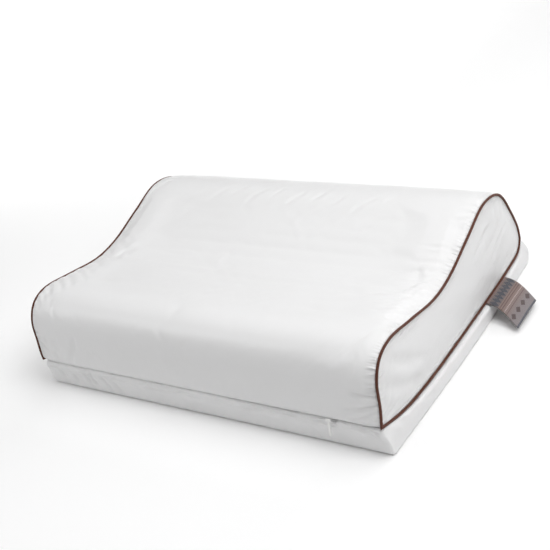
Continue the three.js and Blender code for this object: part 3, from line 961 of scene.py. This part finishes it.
sized = add_node(tree, "ShaderNodeMapping", sockets={
    "Vector": places.outputs["UV"], "Scale": (LABEL_LENGTH, LABEL_WIDTH, 1)})
weave = add_node(tree, "ShaderNodeGroup", node_tree=sateen, sockets={
    "Cloth": sized.outputs[0], "Pitch": 0.0004})
# The woven colours are painted darker in the hollows between the threads, as painted shade.
threads_shaded_in_hollows = add_node(tree, "ShaderNodeMix", data_type="RGBA", blend_type="MULTIPLY", sockets={
    "Factor": 0.35, 6: colour, 7: weave.outputs["Height"]})
tree.links.new(threads_shaded_in_hollows.outputs[2], shader.inputs["Base Color"])
woven = add_node(tree, "ShaderNodeBump", sockets={
    "Strength": 0.6, "Distance": 0.00015, "Height": weave.outputs["Height"]})
tree.links.new(woven.outputs["Normal"], shader.inputs["Normal"])
shader.inputs["Roughness"].default_value = 0.42
shader.inputs["Specular IOR Level"].default_value = 0.5
shader.inputs["Sheen Weight"].default_value = 0.3
label.data.materials.append(ribbon)
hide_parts("woven_label")
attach(label, "root")

# Zip pull
# The front seam closes with a hidden zip. Only its slider and the flat moulded pull that hangs from it
# show, near the right end.
ZIP_X = 0.2185
ZIP_TOP = 0.0468
ZIP_LENGTH = 0.0245
TAB_LENGTH = ZIP_LENGTH - 0.0068
ZIP_BACK = -0.2264
ZIP_THICKNESS = 0.0014
ZIP_LEAN = math.radians(8)


def moulded(size, place, bevel):
    """A block of a size at a place, with its edges rounded as a moulded part's are."""
    bpy.ops.object.select_all(action="DESELECT")
    bpy.ops.mesh.primitive_cube_add(size=1)
    block = bpy.context.object
    bpy.ops.object.mode_set(mode="EDIT")
    bpy.ops.transform.resize(value=size)
    bpy.ops.transform.translate(value=place)
    bpy.ops.object.mode_set(mode="OBJECT")
    with_modifier(block, "BEVEL", width=bevel, segments=3)
    return block


zip_middle = ZIP_BACK - ZIP_THICKNESS / 2
slider = moulded((0.0065, ZIP_THICKNESS, 0.0042), (ZIP_X, zip_middle, ZIP_TOP - 0.0021), 0.0006)
neck = moulded((0.0022, ZIP_THICKNESS * 0.8, 0.0040), (ZIP_X, zip_middle, ZIP_TOP - 0.0055), 0.0004)
tab = moulded((0.0038, ZIP_THICKNESS, TAB_LENGTH),
              (ZIP_X, zip_middle, ZIP_TOP - ZIP_LENGTH + TAB_LENGTH / 2), 0.0006)
# The tab's face is sunk a little inside its rim.
bpy.ops.object.mode_set(mode="EDIT")
bpy.ops.mesh.select_all(action="DESELECT")
bpy.ops.object.mode_set(mode="OBJECT")
for face in tab.data.polygons:
    face.select = face.normal.y < -0.99 and face.area > 1e-5
bpy.ops.object.mode_set(mode="EDIT")
bpy.ops.mesh.inset(thickness=0.0005, depth=-0.0003)
bpy.ops.object.mode_set(mode="OBJECT")
bpy.ops.object.select_all(action="DESELECT")
for part in (neck, tab, slider):
    part.select_set(True)
bpy.context.view_layer.objects.active = slider
bpy.ops.object.join()
slider.name = "zip_slider"
# The whole pull leans out a little from the cloth.
bpy.ops.object.mode_set(mode="EDIT")
bpy.ops.mesh.select_all(action="SELECT")
bpy.ops.transform.rotate(value=ZIP_LEAN, orient_axis="X",
                         center_override=(ZIP_X, zip_middle, ZIP_TOP))
bpy.ops.object.mode_set(mode="OBJECT")
bpy.ops.object.shade_smooth_by_angle(angle=math.radians(35))
nylon, tree, shader = new_material("white nylon")
places = add_node(tree, "ShaderNodeTexCoord")
grain = add_node(tree, "ShaderNodeTexNoise", sockets={
    "Vector": places.outputs["Object"], "Scale": 900.0, "Detail": 2.0})
tint = add_node(tree, "ShaderNodeMix", data_type="RGBA", sockets={
    "Factor": grain.outputs["Fac"], 6: (0.86, 0.86, 0.84, 1), 7: (0.92, 0.92, 0.91, 1)})
tree.links.new(tint.outputs[2], shader.inputs["Base Color"])
matt = add_node(tree, "ShaderNodeBump", sockets={
    "Strength": 0.15, "Distance": 0.0001, "Height": grain.outputs["Fac"]})
tree.links.new(matt.outputs["Normal"], shader.inputs["Normal"])
shader.inputs["Roughness"].default_value = 0.35
slider.data.materials.append(nylon)
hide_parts("zip_pull")
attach(slider, "root")

# Studio
# A seamless white floor under wide, soft light from above and behind, with weaker lights from the right.
# A small one on the left gives the satin its band of light along the low lobe, and a narrow one brightens
# the floor behind.
bpy.ops.object.select_all(action="DESELECT")
bpy.ops.mesh.primitive_plane_add(size=30, location=(0, 0, -0.0004))
floor = bpy.context.object
floor.name = "studio_floor"
floor_white, tree, shader = new_material("studio floor")
shader.inputs["Base Color"].default_value = (0.97, 0.97, 0.97, 1)
shader.inputs["Roughness"].default_value = 0.9
floor.data.materials.append(floor_white)


def softbox(name, place, size, power):
    """A square light that faces the pillow."""
    bpy.ops.object.light_add(type="AREA", location=place)
    light = bpy.context.object
    light.name = name
    light.data.shape = "SQUARE"
    light.data.size = size
    light.data.energy = power
    light.rotation_euler = (Vector((0, 0, 0.08)) - Vector(place)).to_track_quat("-Z", "Y").to_euler()


softbox("overhead softbox", (0.0, 0.3, 3.0), 3.5, 56)
softbox("back softbox", (0.5, 3.0, 1.6), 2.5, 36)
softbox("left softbox", (-1.5, -1.5, 1.6), 0.9, 15)
softbox("high right softbox", (1.5, -0.2, 1.8), 1.2, 17)
softbox("near right softbox", (0.9, 0.3, 1.5), 0.9, 5)
softbox("floor wash", (-1.6, 1.5, 2.0), 1.6, 20)
# The floor wash looks straight down, in a narrow beam that hardly reaches the pillow.
bpy.context.object.rotation_euler = (0, 0, 0)
bpy.context.object.data.spread = math.radians(50)
world = bpy.data.worlds.new("studio")
bpy.context.scene.world = world
world.use_nodes = True
world.node_tree.nodes["Background"].inputs["Color"].default_value = (1, 1, 1, 1)
world.node_tree.nodes["Background"].inputs["Strength"].default_value = 0.05
bpy.context.scene.view_settings.view_transform = "Standard"
